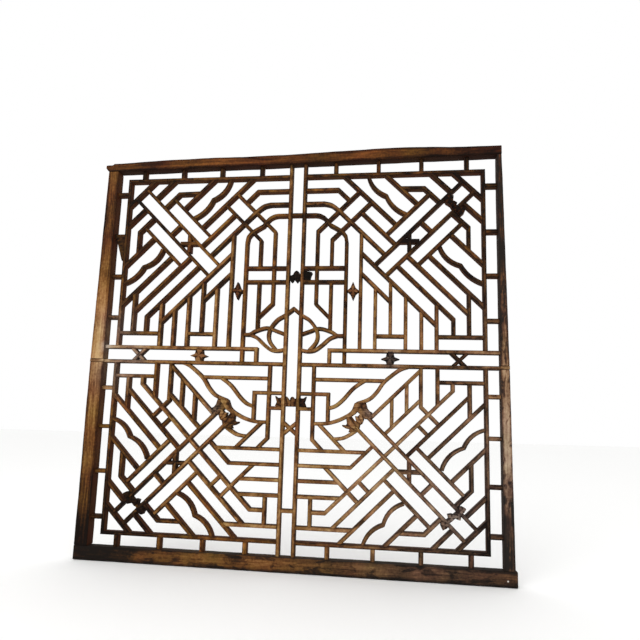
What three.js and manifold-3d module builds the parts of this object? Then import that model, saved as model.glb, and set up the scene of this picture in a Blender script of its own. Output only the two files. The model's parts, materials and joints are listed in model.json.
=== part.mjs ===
// Lattice transom window: a square wooden frame filled with mortised fretwork of thin square-edged
// bars, with small carved leaves and flowers where the bars meet.
// Millimetres, +Z up, front towards -Y, origin at the middle of the underside of the bottom rail.
import * as THREE from "three";
import { mergeVertices } from "three/addons/utils/BufferGeometryUtils.js";
import Module from "manifold-3d";

const wasm = await Module();
wasm.setup();

// Driving dimensions
const OPENING_HALF = 643.7; // half the clear width inside the frame
const OPENING_BELOW = 593.3; // mid bar centre line down to the bottom rail
const OPENING_ABOVE = 680.6; // and up to the top rail
const BORDER_GAP = 41; // frame's inner face to the middle of the border bar
const MULLION_OFFSET = 24; // centre line of the window to the middle of a mullion
const BAND_RISE = 48; // mid bar to the band bar over it
const BAR_FACE = 12; // width of a bar seen from the front
const BAR_DEPTH = 22; // front to back
const BLOCK_FACE = 14; // spacer blocks between frame and lattice
const FRAME_DEPTH = 33;
const LATTICE_SETBACK = 10; // lattice front behind frame front
const CLEARANCE = 0.3; // gap between pieces that touch
const OVERCUT = 1; // cutters run this far past the faces they cut
const FINEST = 0.1; // no detail smaller than this is kept

const TOP_RAIL = 30; // height of its front face at the ends
const BOTTOM_RAIL = 45;
const LEFT_STILE_TOP = 38; // the stiles were never dressed to one width
const LEFT_STILE = 46;
const RIGHT_STILE_TOP = 15;
const RIGHT_STILE_MIDDLE = 26;
const RIGHT_STILE_FOOT = 31;
const HORN = 11; // top rail past the left stile
const HORN_STEP = 5; // horn lower than the rail
const BOTTOM_RAIL_END = 5; // bottom rail past the right stile
// Natural swell of the top rail's upper edge: share of the half opening, and rise
const TOP_SWELL = [[0.78, 2], [0.67, 7], [0.54, 10], [0.44, 10], [0.1, 5], [-0.05, 3], [-0.3, 3],
  [-0.45, 5.5], [-0.7, 5]];

// The lattice is set out on a grid that fills the opening. Its layout below counts in pitches of
// that grid, about 48 mm: outward from the centre line, and up or down from the mid bar.
const COUNT_ACROSS = 13.41; // pitches from the centre line to a stile
const COUNT_BELOW = 12.36; // from the mid bar down to the bottom rail
const COUNT_ABOVE = 14.18; // and up to the top rail
const PITCH_ACROSS = OPENING_HALF / COUNT_ACROSS;
const PITCH_BELOW = OPENING_BELOW / COUNT_BELOW;
const PITCH_ABOVE = OPENING_ABOVE / COUNT_ABOVE;

const MID_Z = BOTTOM_RAIL + OPENING_BELOW;
const OPENING_TOP = MID_Z + OPENING_ABOVE;

const FRAME_FRONT = -FRAME_DEPTH / 2;
const FRAME_BACK = FRAME_DEPTH / 2;
const BAR_FRONT = FRAME_FRONT + LATTICE_SETBACK;
const BAR_BACK = BAR_FRONT + BAR_DEPTH;
const BAR_MIDDLE = (BAR_FRONT + BAR_BACK) / 2;

const LEFT = -1;
const RIGHT = 1;

// The window has racked: the lattice rides up on the left and down on the right, from nothing at
// the bottom to its full amount a little over the mid bar.
const RACK = 0.0135; // rise per unit of distance from the centre line
const RACK_FROM = -10; // in pitches from the mid bar
const RACK_TO = 3;

// A point of the layout, in pitches from the centre line and the mid bar, as [x, z].
function place(side, [u, z]) {
  const share = THREE.MathUtils.clamp((z - RACK_FROM) / (RACK_TO - RACK_FROM), 0, 1);
  const x = side * u * PITCH_ACROSS;
  const height = z * (z < 0 ? PITCH_BELOW : PITCH_ABOVE);
  return [x, MID_Z + height - x * RACK * share];
}

// Wood finishes
const finish = (color, roughness) => new THREE.MeshStandardMaterial({ color, roughness, metalness: 0 });
const RAIL_WOOD = finish("#4a2a16", 0.6);
const STILE_WOOD = finish("#7d5a35", 0.65);
const DARK_BAR = finish("#43301f", 0.65);
const PALE_BAR = finish("#7a5c38", 0.7);
const CARVED_WOOD = finish("#3a2a1c", 0.7);

// Solids

// A closed geometry as a solid that can be joined and cut.
function solidOf(geometry) {
  const bare = geometry.clone();
  bare.deleteAttribute("normal");
  bare.deleteAttribute("uv");
  const merged = mergeVertices(bare, 1e-4);
  const vertProperties = new Float32Array(merged.attributes.position.array);
  const triVerts = new Uint32Array(merged.index.array);
  return new wasm.Manifold(new wasm.Mesh({ numProp: 3, vertProperties, triVerts }));
}

// A flat outline of [x, z] points carried from front to back.
function slab(outline, front, back) {
  const shape = new THREE.Shape(outline.map(([x, z]) => new THREE.Vector2(x, z)));
  const geometry = new THREE.ExtrudeGeometry(shape, { depth: back - front, bevelEnabled: false });
  geometry.rotateX(Math.PI / 2);
  geometry.translate(0, back, 0);
  return solidOf(geometry);
}

// A bar along a path of [x, z] points, mitred at its bends and cut square at its ends.
function strip(path, face, front, back, growth = 0) {
  const half = face / 2 + growth;
  const points = path.map(([x, z]) => new THREE.Vector2(x, z));
  const last = points.length - 1;
  const heading = points.slice(1).map((p, i) => p.clone().sub(points[i]).normalize());
  points[0].addScaledVector(heading[0], -growth);
  points[last].addScaledVector(heading[last - 1], growth);
  const offsets = points.map((_, i) => {
    const before = heading[Math.max(i - 1, 0)];
    const after = heading[Math.min(i, last - 1)];
    const sum = new THREE.Vector2(-before.y - after.y, before.x + after.x);
    return sum.multiplyScalar(half / (1 + before.dot(after)));
  });
  const leftEdge = points.map((p, i) => p.clone().add(offsets[i]).toArray());
  const rightEdge = points.map((p, i) => p.clone().sub(offsets[i]).toArray());
  return slab([...leftEdge, ...rightEdge.reverse()], front, back);
}

const join = (solids) => solids.reduce((whole, solid) => whole.add(solid));

// Layout of the lattice, in pitches: u outward from the centre line, z up from the mid bar
const post = (u, from, to) => [[u, from], [u, to]];
const rail = (z, from, to) => [[from, z], [to, z]];
// Diagonals at 45 degrees: rising outward on z = u + shift, or rising inward on z = total - u
const outward = (shift, from, to) => [[from, from + shift], [to, to + shift]];
const inward = (total, from, to) => [[from, total - from], [to, total - to]];

// A smooth curve through a few points.
function curve(points, steps = 2) {
  const spline = new THREE.SplineCurve(points.map(([u, z]) => new THREE.Vector2(u, z)));
  return spline.getPoints(steps * (points.length - 1)).map((p) => p.toArray());
}

// A shallow arc between two points.
function bulge([u0, z0], [u1, z1], rise, steps = 3) {
  const [du, dz] = [u1 - u0, z1 - z0];
  return Array.from({ length: steps + 1 }, (_, i) => {
    const t = i / steps;
    const lift = 4 * rise * t * (1 - t);
    return [u0 + du * t - dz * lift, z0 + dz * t + du * lift];
  });
}

// A cloud edge: two shallow arcs that meet in a cusp.
const cloud = (start, cusp, end, rise, secondRise) =>
  [...bulge(start, cusp, rise), ...bulge(cusp, end, secondRise).slice(1)];

const MULLION = MULLION_OFFSET / PITCH_ACROSS;
const BORDER = COUNT_ACROSS - BORDER_GAP / PITCH_ACROSS;
const LOWER_BORDER = BORDER_GAP / PITCH_BELOW - COUNT_BELOW;
const UPPER_BORDER = COUNT_ABOVE - BORDER_GAP / PITCH_ABOVE;
const BAND = BAND_RISE / PITCH_ABOVE;
const INTO_FRAME = 0.2; // bars that reach the frame are drawn this far into it, and cut at its face
const SOCKET = COUNT_ACROSS + INTO_FRAME;
const SILL = -COUNT_BELOW - INTO_FRAME;
const HEAD = COUNT_ABOVE + INTO_FRAME;

// Ties between the frame and the border are short blocks.
const blocks = (paths) => paths.map((path) => ({ path, face: BLOCK_FACE }));
const bars = (...paths) => paths.map((path) => ({ path, face: BAR_FACE }));

// Border of a lower quarter with the bars that start from it.
const lowerBorder = () => [
  ...bars(
    post(BORDER, LOWER_BORDER, 0),
    rail(LOWER_BORDER, BORDER, MULLION),
    rail(-1, BORDER, 9.55),
    post(9.55, 0, -2.5),
    post(11.55, -1, -3.28),
    outward(-13.42, 11.5, 7.57),
    outward(-14.83, BORDER, 8.9),
    outward(-17.7, BORDER, 10.35),
    outward(-20.66, BORDER, 11.2),
    outward(-22.16, BORDER, 10.63),
    outward(-20.66, 10.47, 9.13),
    outward(-17.7, 8.35, 6.17),
    outward(-14.83, 6.86, 3.3),
    [[11.6, -6.1], [11.6, -7.8], [10.5, -8.9]],
    [[9.79, -9.51], [8.72, -10.58], [7.12, -10.58]],
    inward(4.5, 8.28, 8.96),
    cloud([BORDER, -3.95], [11.15, -5.15], [9.78, -6.6], -0.13, -0.13),
    cloud([7.45, -8.75], [6.18, -10.12], [4.9, LOWER_BORDER], -0.13, -0.13),
  ),
  ...blocks([-1.85, -4.5, -7.5, -10.5].map((z) => rail(z, BORDER, SOCKET))),
  ...blocks([11.54, 8.52, 5.55, 2.67].map((u) => post(u, LOWER_BORDER, SILL))),
];

// Border of an upper quarter with the bars that start from it.
const upperBorder = () => [
  ...bars(
    post(BORDER, BAND, UPPER_BORDER),
    rail(UPPER_BORDER, BORDER, MULLION),
    rail(2, BORDER, 9.5),
    post(11.56, 2, 4.95),
    [[10.57, 2], [10.57, 3.17], [6.87, 6.87]],
    inward(15.08, 11.56, 7.57),
    inward(16.51, BORDER, 8.97),
    inward(16.52, 6.86, 3.19),
    inward(19.37, BORDER, 10.4),
    inward(19.39, 8.27, 6.06),
    inward(22.38, BORDER, 11.24),
    inward(22.41, 10.5, 9.08),
    inward(23.9, BORDER, 10.57),
    [[11.58, 7.78], [11.58, 9.4], [10.5, 10.48]],
    [[9.75, 11.2], [8.7, 12.25], [7.05, 12.28]],
    cloud([BORDER, 5.55], [11.05, 6.8], [9.7, 8.1], 0.1, 0.13),
    cloud([7.5, 10.4], [6.15, 11.75], [4.9, UPPER_BORDER], 0.1, 0.13),
  ),
  ...blocks([3.1, 6.1, 9.1, 12.3].map((z) => rail(z, BORDER, SOCKET))),
  ...blocks([11.5, 8.5, 5.6, 2.65].map((u) => post(u, UPPER_BORDER, HEAD))),
];

// Wedge under a block of the left border, where the bar has split and spread.
const borderWedge = () => [
  { outline: [[12.6, 9.1], [13.3, 9.1], [13.24, 8.75], [12.77, 7.25], [12.6, 7.25]] },
];

// Bars that hang from the mid bar beside the ribbons.
const hangingBars = () =>
  bars(
    [[8.5, 0], [8.5, -2.63], [9.6, -3.73]],
    outward(-8.72, 8.5, 5.25),
    outward(-10.65, 8.5, 6.15),
    post(7.6, -1.12, -3.05),
    post(6.65, -2.07, -4),
  );

// Scrolls that hang from the mid bar beside the mullion.
const SCROLL_CUSP = [4.45, -2.5];
const hangingScroll = () =>
  bars(
    [
      ...curve([[7.7, -0.02], [7.2, -0.2], [6.65, -0.6], [6.1, -1.1], [5.7, -1.7], [5.2, -2.2],
        SCROLL_CUSP]),
      ...curve([SCROLL_CUSP, [4.08, -3.12], [3.5, -3.5], [2.9, -3.75], [2.3, -3.88], [1.5, -3.9]]).slice(1),
    ],
    rail(-0.98, 6.15, 1.5),
    curve([[4.95, -0.95], [4.17, -1.5], [3.5, -2.27], [3, -2.7], [2.5, -2.88]]),
    [[1.5, 0], [1.5, -4.95], [2.2, -5.66]],
    rail(-1.95, 2.5, MULLION),
    rail(-2.95, 1.5, MULLION),
    post(2.5, -1.95, -3.85),
    [[1.9, -3.9], [3.66, -5.66]],
    curve([[4.4, -4.26], [3.98, -4.55], [3.5, -4.79], [2.85, -4.87]]),
  );

// Rungs between the mullion and the through bar.
const rungs = () =>
  bars(
    [[5.5, -5.2], [4.05, -6.65], [MULLION, -6.65]],
    rail(-5.66, 5, MULLION),
    [[2.35, -6.65], [4.56, -8.86]],
    rail(-7.63, 3.32, MULLION),
    rail(-8.62, 3.45, MULLION),
    post(1.5, -8.62, -10.57),
    outward(-13.46, 6.87, 2.89),
    rail(-10.57, 4.26, MULLION),
    inward(-2.93, 4.56, 5.26),
  );

// Posts that stand on the band bar with the long diagonals over them.
const standingPosts = () =>
  bars(
    post(9.5, BAND, 4.1),
    post(8.52, BAND, 3.73),
    post(7.5, BAND, 4.75),
    post(6.5, 2, 5.75),
    post(5.5, BAND, 5.28),
    post(4.5, BAND, 9.25),
    rail(2, 7.5, 5.5),
    inward(12.25, 9.5, 4.5),
    inward(10.83, 6.5, 4.5),
    [...inward(13.7, 6.13, 3.05), ...curve([[2.85, 10.84], [2.4, 11.18], [1.9, 11.31]]), [MULLION, 11.31]],
  );

// Pointed arch beside the mullion with its two rails.
const arch = () =>
  bars(
    [[3.5, 0], [3.5, 8.5], ...curve([[3.43, 8.92], [3.2, 9.22], [2.88, 9.44], [2.36, 9.74]]), [2.14, 10.04],
      ...curve([[1.9, 10.28], [1.6, 10.43], [1.3, 10.48]]), [MULLION, 10.48]],
    rail(6.68, 3.5, MULLION),
    rail(5.7, 3.5, MULLION),
    post(2.5, 2.3, 5.7),
  );

const innerVein = () =>
  bars(
    [[4.33, 12.12], [1.5, 9.29], [1.5, 4.15], [2.5, 3.15]],
    [[3.7, 11.45], [2.85, 12.3], [MULLION, 12.3]],
  );

const outerVein = () =>
  bars([[5.12, 11.3], [2.5, 8.68], [2.5, 6.68]], inward(15.1, 6.87, 4.44));

const lotus = () =>
  bars(
    curve([[3.5, 2], [3, 2], [2.6, 2.24], [1.8, 2.46], [1.1, 2.24], [MULLION, 2.02]]),
    curve([[3, 1.98], [2.5, 1.78], [2, 1.33], [1.5, 0.97], [1, 0.9], [MULLION, 1]]),
    curve([[0.07, 3.76], [0.6, 3.34], [1.1, 3.03], [1.52, 2.5], [1.68, 2], [1.58, 1.5], [1.15, 0.97]]),
  );

// Ribbons: the two long diagonals that run side by side and are bound by a tie
const lowerRibbons = () =>
  bars(inward(1.73, 4.95, 11.87), inward(0.28, 4.35, 11.14), outward(-16.7, 9.2, 8.49));
const upperRibbons = () =>
  bars(outward(1.43, 11.24, 5.41), outward(-0.05, 11.97, 6.15), inward(18.33, 8.45, 9.19));

// Carving

const LEAF_TIPS = 3;
const LEAF_NOTCH = 0.72; // depth of the notches between the tips, as a share of the radius

// An outline of leaf lobes round a centre: its radius swings between a tip and a notch.
const leaf = ([u, z], radius, turn) => ({
  outline: Array.from({ length: 2 * LEAF_TIPS }, (_, i) => {
    const r = i % 2 ? radius * LEAF_NOTCH : radius;
    const a = turn + (Math.PI * i) / LEAF_TIPS;
    return [u + r * Math.cos(a), z + r * Math.sin(a)];
  }),
});

// Leaves of the corners, each [centre, radius in pitches, turn], and the twig between the ribbons
const LOWER_CORNER_LEAVES = [
  [[10.98, -8.96], 0.28, 0.3], [[10.75, -9.36], 0.27, 1.1],
  [[10.36, -9.42], 0.28, 0.5], [[9.93, -9.93], 0.32, 0.2],
];
const UPPER_CORNER_LEAVES = [
  [[11.08, 10.57], 0.36, 0.4], [[10.78, 10.72], 0.28, 1],
  [[10.58, 11.05], 0.28, 0.2], [[10.32, 11.36], 0.4, 0.7],
];
const LOWER_TWIG = [[10.82, -9.13], [10.09, -9.77]];
const leaves = (list) => list.map((each) => leaf(...each));

// Three tufts of petals that tie the cusp of the scroll to the ends of the two ribbons: one at the
// outer ribbon, one between, and one at the inner ribbon that runs out in a long tip.
const vineTufts = () => [
  { outline: [[4.41, -2.57], [4.98, -2.39], [5.1, -2.8], [5.24, -2.98], [5.42, -3.06], [5.36, -3.48],
    [4.95, -3.52], [4.73, -3.28], [4.56, -3.16], [4.44, -3.06]] },
  { outline: [[4.29, -3.32], [4.47, -3.34], [4.66, -3.12], [4.84, -3.22], [4.9, -3.47], [4.84, -3.65],
    [4.77, -3.82], [4.6, -3.92], [4.48, -3.84], [4.4, -3.72], [4.34, -3.56]] },
  { outline: [[3.72, -3.42], [4.0, -3.24], [4.26, -3.6], [4.46, -3.7], [4.66, -3.8], [4.6, -4.1],
    [4.46, -4.38], [4.13, -4.36], [3.87, -4.4], [3.96, -4.2], [3.72, -4.15], [3.48, -4.02], [3.46, -3.9],
    [3.68, -3.95], [3.78, -3.84]] },
];

// A small cross of short bars between two ribbons.
const crossFlower = (u, z, reach) => [
  { path: post(u, z - reach, z + reach), face: BLOCK_FACE },
  { path: rail(z, u - reach, u + reach), face: BLOCK_FACE },
];

// Points between the mid bar and the band bar, whose heights are given as shares of that space
const inBand = (points) => points.map(([u, share]) => [u, share * BAND]);
const bandFlower = () => [
  { outline: inBand([[7.15, 0.46], [6.8, 0.6], [6.72, 0.98], [6.3, 0.98], [6.24, 0.6], [5.9, 0.46],
    [6.24, 0.34], [6.3, 0.05], [6.72, 0.05], [6.8, 0.34]]) },
];
const bandCross = () => bars(inBand([[11.4, 0.92], [10.5, 0.05]]), inBand([[10.4, 0.95], [11.3, 0.05]]));
const lozenge = () => [
  { outline: [[4, 5.7], [4.18, 5.26], [4.42, 5.06], [4.18, 4.86], [4, 4.42], [3.82, 4.86], [3.58, 5.06],
    [3.82, 5.26]] },
];

// Carvings across the middle strip, drawn from left to right in x
const upperCarving = () => [
  { outline: [[-0.5, 6.35], [-0.28, 6.52], [-0.1, 6.38], [0, 6.55], [0.12, 6.38], [0.3, 6.5], [0.62, 6.42],
    [0.72, 6.66], [1.12, 6.6], [1, 6.3], [1.08, 6.05], [0.72, 5.78], [0.6, 6.05], [0.2, 6.05],
    [0.05, 5.84], [-0.12, 6.05], [-0.5, 6.1]] },
];
const lowerCarving = () => {
  const half = [[0, -2.08], [0.12, -2.35], [0.3, -2.12], [0.42, -2.4], [0.68, -2.3], [0.8, -2.1],
    [1.06, -2.2], [0.95, -2.45], [1.05, -2.75], [0.75, -2.72], [0.42, -2.72], [0.3, -2.8]];
  const mirrored = half.slice(1).map(([x, z]) => [-x, z]);
  return [{ outline: [...half, ...mirrored.reverse()] }];
};
// A small cross between the mullions, let into both.
const centreCross = () => {
  const [top, foot] = [-3.84, -4.68];
  return bars([[-MULLION, top], [MULLION, foot]], [[MULLION, top], [-MULLION, foot]]);
};

// Frame

const plumb = (x, z0, z1) => [[x, z0], [x, z1]];
const mirrorX = (points, side) => points.map(([x, z]) => [side * x, z]);

// Height at which the mid bar runs out between the two lengths of a stile.
const stileJoint = (side) => place(side, [COUNT_ACROSS, 0])[1];

function frameOutlines() {
  const under = (side) => stileJoint(side) - BAR_FACE / 2 - CLEARANCE;
  const over = (side) => stileJoint(side) + BAR_FACE / 2 + CLEARANCE;
  const foot = BOTTOM_RAIL + CLEARANCE;
  const head = OPENING_TOP - CLEARANCE;
  const stile = (side, low, high, z0, z1) => mirrorX(
    [...plumb(OPENING_HALF, z0, z1), [OPENING_HALF + high, z1], [OPENING_HALF + low, z0]], side);
  const top = OPENING_TOP + TOP_RAIL;
  const leftEnd = -(OPENING_HALF + LEFT_STILE_TOP);
  return {
    bottom_rail: [
      [-(OPENING_HALF + LEFT_STILE), 0], [OPENING_HALF + RIGHT_STILE_FOOT + BOTTOM_RAIL_END, 0],
      [OPENING_HALF + RIGHT_STILE_FOOT + BOTTOM_RAIL_END, BOTTOM_RAIL],
      [-(OPENING_HALF + LEFT_STILE), BOTTOM_RAIL],
    ],
    top_rail: [
      [leftEnd, OPENING_TOP], [OPENING_HALF + RIGHT_STILE_TOP, OPENING_TOP],
      [OPENING_HALF + RIGHT_STILE_TOP, top],
      ...TOP_SWELL.map(([share, rise]) => [share * OPENING_HALF, top + rise]),
      [leftEnd + LEFT_STILE_TOP / 2, top],
      [leftEnd + LEFT_STILE_TOP / 3, top - HORN_STEP], [leftEnd - 0.8 * HORN, top - HORN_STEP],
      [leftEnd - HORN, top - HORN_STEP - TOP_RAIL / 4], [leftEnd - 0.8 * HORN, OPENING_TOP + TOP_RAIL / 3],
    ],
    left_lower_stile: stile(LEFT, LEFT_STILE, LEFT_STILE, foot, under(LEFT)),
    left_upper_stile: stile(LEFT, LEFT_STILE, LEFT_STILE_TOP, over(LEFT), head),
    right_lower_stile: stile(RIGHT, RIGHT_STILE_FOOT, RIGHT_STILE_MIDDLE, foot, under(RIGHT)),
    right_upper_stile: stile(RIGHT, RIGHT_STILE_MIDDLE, RIGHT_STILE_TOP, over(RIGHT), head),
  };
}

// Assembly

// Every piece of the lattice, in the order in which it is cut: a piece is trimmed where it meets
// one named before it. Pieces that cross are halved into each other instead, as halves says.
function latticePieces() {
  const pieces = [];
  const add = (name, side, parts, material, halves = []) =>
    pieces.push({ name, side, parts, material, halves });
  const sides = [["left", LEFT], ["right", RIGHT]];
  for (const [hand, side] of sides) {
    add(`${hand}_mullion`, side, bars(post(MULLION, SILL, HEAD)), DARK_BAR);
    add(`${hand}_mid_bar`, side, bars(rail(0, SOCKET, MULLION)), PALE_BAR);
    add(`${hand}_band_bar`, side, bars([[SOCKET, BAND], [2.5, BAND], [2.5, 0]]), PALE_BAR);
  }
  for (const [hand, side] of sides) {
    const flower = side === LEFT ? 0.62 : 0.72;
    const topCluster = side === RIGHT ? leaves(UPPER_CORNER_LEAVES) : [];
    const lowerPair = [...lowerRibbons(), ...crossFlower(7.78, -6.78, flower), ...vineTufts(),
      ...bars(LOWER_TWIG), ...leaves(LOWER_CORNER_LEAVES)];
    const upperPair = [...upperRibbons(), ...crossFlower(7.72, 8.5, 0.66), ...topCluster];
    add(`${hand}_lower_ribbons`, side, lowerPair, PALE_BAR);
    add(`${hand}_lower_through_bar`, side, bars([[10.5, -1], [10.5, -1.55], [2.47, -9.58], [1.5, -9.58]]),
      PALE_BAR, [`${hand}_lower_ribbons`]);
    add(`${hand}_upper_ribbons`, side, upperPair, DARK_BAR);
    add(`${hand}_lower_border`, side, lowerBorder(), DARK_BAR);
    add(`${hand}_upper_border`, side, [...upperBorder(), ...(side === LEFT ? borderWedge() : [])], DARK_BAR);
    add(`${hand}_lower_outer_ribbon`, side, bars(inward(3, 8.21, 11.15)), PALE_BAR);
    add(`${hand}_lower_inner_ribbon`, side, bars(inward(-1.12, 6.15, 9.09)), PALE_BAR);
    add(`${hand}_upper_inner_ribbon`, side, bars(outward(2.8, 9.1, 6.1)), DARK_BAR);
    add(`${hand}_upper_outer_ribbon`, side, bars(outward(-1.43, 11.2, 8.2)), DARK_BAR);
    add(`${hand}_hanging_bars`, side, hangingBars(), PALE_BAR, [`${hand}_lower_through_bar`]);
    add(`${hand}_hanging_scroll`, side, hangingScroll(), PALE_BAR);
    add(`${hand}_rungs`, side, rungs(), PALE_BAR, [`${hand}_lower_through_bar`]);
    add(`${hand}_standing_posts`, side, standingPosts(), PALE_BAR);
    add(`${hand}_arch`, side, arch(), DARK_BAR, [`${hand}_band_bar`]);
    add(`${hand}_inner_vein`, side, innerVein(), DARK_BAR, [`${hand}_arch`, `${hand}_standing_posts`]);
    add(`${hand}_outer_vein`, side, outerVein(), DARK_BAR, [`${hand}_arch`, `${hand}_standing_posts`]);
    add(`${hand}_lotus`, side, lotus(), PALE_BAR, [`${hand}_mullion`]);
    add(`${hand}_band_flower`, side, bandFlower(), CARVED_WOOD);
    add(`${hand}_band_cross`, side, bandCross(), PALE_BAR);
    add(`${hand}_lozenge`, side, lozenge(), CARVED_WOOD);
  }
  const mullions = ["left_mullion", "right_mullion"];
  add("upper_carving", RIGHT, upperCarving(), CARVED_WOOD, mullions);
  add("lower_carving", RIGHT, lowerCarving(), CARVED_WOOD, mullions);
  add("upper_tie", RIGHT, bars(rail(10.5, -MULLION, MULLION)), DARK_BAR);
  add("lower_tie", RIGHT, bars(rail(-9.55, -MULLION, MULLION)), PALE_BAR);
  add("centre_cross", RIGHT, centreCross(), PALE_BAR);
  return pieces;
}

// The solid of one piece between two depths, grown on every side where it is used to cut others.
function pieceSolid({ parts, side }, front, back, growth = 0) {
  const laid = (points) => points.map((point) => place(side, point));
  return join(parts.map(({ path, face, outline }) => outline
    ? slab(laid(outline), front, back)
    : strip(laid(path), face, front, back, growth)));
}

const transom = new THREE.Group();

function addMesh(name, solid, material) {
  const { vertProperties, triVerts } = solid.simplify(FINEST).getMesh();
  const geometry = new THREE.BufferGeometry();
  geometry.setAttribute("position", new THREE.BufferAttribute(vertProperties, 3));
  geometry.setIndex(new THREE.BufferAttribute(triVerts, 1));
  geometry.computeVertexNormals();
  const mesh = new THREE.Mesh(geometry, material);
  mesh.name = name;
  transom.add(mesh);
}

for (const [name, outline] of Object.entries(frameOutlines()))
  addMesh(name, slab(outline, FRAME_FRONT, FRAME_BACK), name.endsWith("rail") ? RAIL_WOOD : STILE_WOOD);

const opening = slab([
  [-OPENING_HALF + CLEARANCE, BOTTOM_RAIL + CLEARANCE], [OPENING_HALF - CLEARANCE, BOTTOM_RAIL + CLEARANCE],
  [OPENING_HALF - CLEARANCE, OPENING_TOP - CLEARANCE], [-OPENING_HALF + CLEARANCE, OPENING_TOP - CLEARANCE],
], FRAME_FRONT, FRAME_BACK);

const pieces = latticePieces();
const cutFront = [BAR_FRONT - OVERCUT, BAR_MIDDLE + CLEARANCE / 2];
const cutBack = [BAR_MIDDLE - CLEARANCE / 2, BAR_BACK + OVERCUT];
const cutThrough = [BAR_FRONT - OVERCUT, BAR_BACK + OVERCUT];
const cutter = (piece, [front, back]) => pieceSolid(piece, front, back, CLEARANCE);

// The mid bar runs on between the two lengths of each stile as a block of the frame's depth.
const stileBlock = (side, width) => {
  const [inner, outer] = [OPENING_HALF - CLEARANCE - OVERCUT, OPENING_HALF + width];
  const [low, high] = [stileJoint(side) - BAR_FACE / 2, stileJoint(side) + BAR_FACE / 2];
  const outline = [...plumb(inner, low, high), ...plumb(outer, high, low)];
  return slab(mirrorX(outline, side), FRAME_FRONT, FRAME_BACK);
};

pieces.forEach((piece, index) => {
  let solid = pieceSolid(piece, BAR_FRONT, BAR_BACK).intersect(opening);
  pieces.slice(0, index).forEach((earlier) => {
    const halved = piece.halves.includes(earlier.name);
    solid = solid.subtract(cutter(earlier, halved ? cutFront : cutThrough));
  });
  pieces.slice(index + 1).filter((later) => later.halves.includes(piece.name)).forEach((later) => {
    solid = solid.subtract(cutter(later, cutBack));
  });
  if (piece.name === "left_mid_bar") solid = solid.add(stileBlock(LEFT, LEFT_STILE));
  if (piece.name === "right_mid_bar") solid = solid.add(stileBlock(RIGHT, RIGHT_STILE_MIDDLE));
  addMesh(piece.name, solid, piece.material);
});

export default transom;
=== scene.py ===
import json

import bpy
import numpy as np
from mathutils import Euler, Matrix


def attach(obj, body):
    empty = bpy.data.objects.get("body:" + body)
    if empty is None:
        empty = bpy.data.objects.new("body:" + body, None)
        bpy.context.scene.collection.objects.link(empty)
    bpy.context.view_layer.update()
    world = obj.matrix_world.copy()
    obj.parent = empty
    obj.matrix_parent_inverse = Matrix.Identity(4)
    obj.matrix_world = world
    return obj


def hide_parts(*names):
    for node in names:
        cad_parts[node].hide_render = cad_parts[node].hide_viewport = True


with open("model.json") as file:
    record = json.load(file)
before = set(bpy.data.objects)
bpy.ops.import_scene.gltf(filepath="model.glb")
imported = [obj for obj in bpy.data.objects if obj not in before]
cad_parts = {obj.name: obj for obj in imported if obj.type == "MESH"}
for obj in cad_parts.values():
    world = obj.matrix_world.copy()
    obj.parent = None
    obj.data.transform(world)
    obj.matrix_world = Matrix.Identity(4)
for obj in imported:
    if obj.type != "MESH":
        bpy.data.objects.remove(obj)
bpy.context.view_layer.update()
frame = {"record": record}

# Bottom rail. One squared length of fir that the whole window stands on; it runs a little past the
# right stile. Planed once and worn since: its arrises are rounded and its faces dip.

MM = 0.001
BOTTOM_RAIL = 45 * MM
PITCH = 48 * MM
OPENING_HALF = 643.7 * MM
FRAME_HALF_DEPTH = 16.5 * MM
LEFT_STILE = 46 * MM
RIGHT_STILE_FOOT = 31 * MM
RAIL_END = 5 * MM
MID_BAR = BOTTOM_RAIL + 593.3 * MM
OPENING_TOP = MID_BAR + 680.6 * MM

# Points round a section, each as the place of its arris centre (across, deep) in halves of the
# section, and the way from there to the surface in arris radii.
SLANT = np.sqrt(0.5)
SECTION = np.array([
    (-1, -1, -1, 0), (-1, -1, -SLANT, -SLANT), (-1, -1, 0, -1), (-0.55, -1, 0, -1), (0.55, -1, 0, -1),
    (1, -1, 0, -1), (1, -1, SLANT, -SLANT), (1, -1, 1, 0), (1, 0, 1, 0),
    (1, 1, 1, 0), (1, 1, SLANT, SLANT), (1, 1, 0, 1), (0.55, 1, 0, 1), (-0.55, 1, 0, 1),
    (-1, 1, 0, 1), (-1, 1, -SLANT, SLANT), (-1, 1, -1, 0), (-1, 0, -1, 0)])
ROUND = len(SECTION)
ARRIS_WAVE = 600 * MM
FACE_WAVE = 350 * MM
FACE_WANDER = 0.25 * MM
chance = np.random.default_rng(1911)


def drift(along, longest):
    """Slow wandering between -1 and 1: the sum of three sine waves, each a third as long and weaker."""
    phase = chance.uniform(0, 2 * np.pi, 3)
    waves = [np.sin(2 * np.pi * along * 3 ** k / longest + phase[k]) / (1.6 + k) for k in range(3)]
    return np.sum(waves, axis=0) / 1.3


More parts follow.
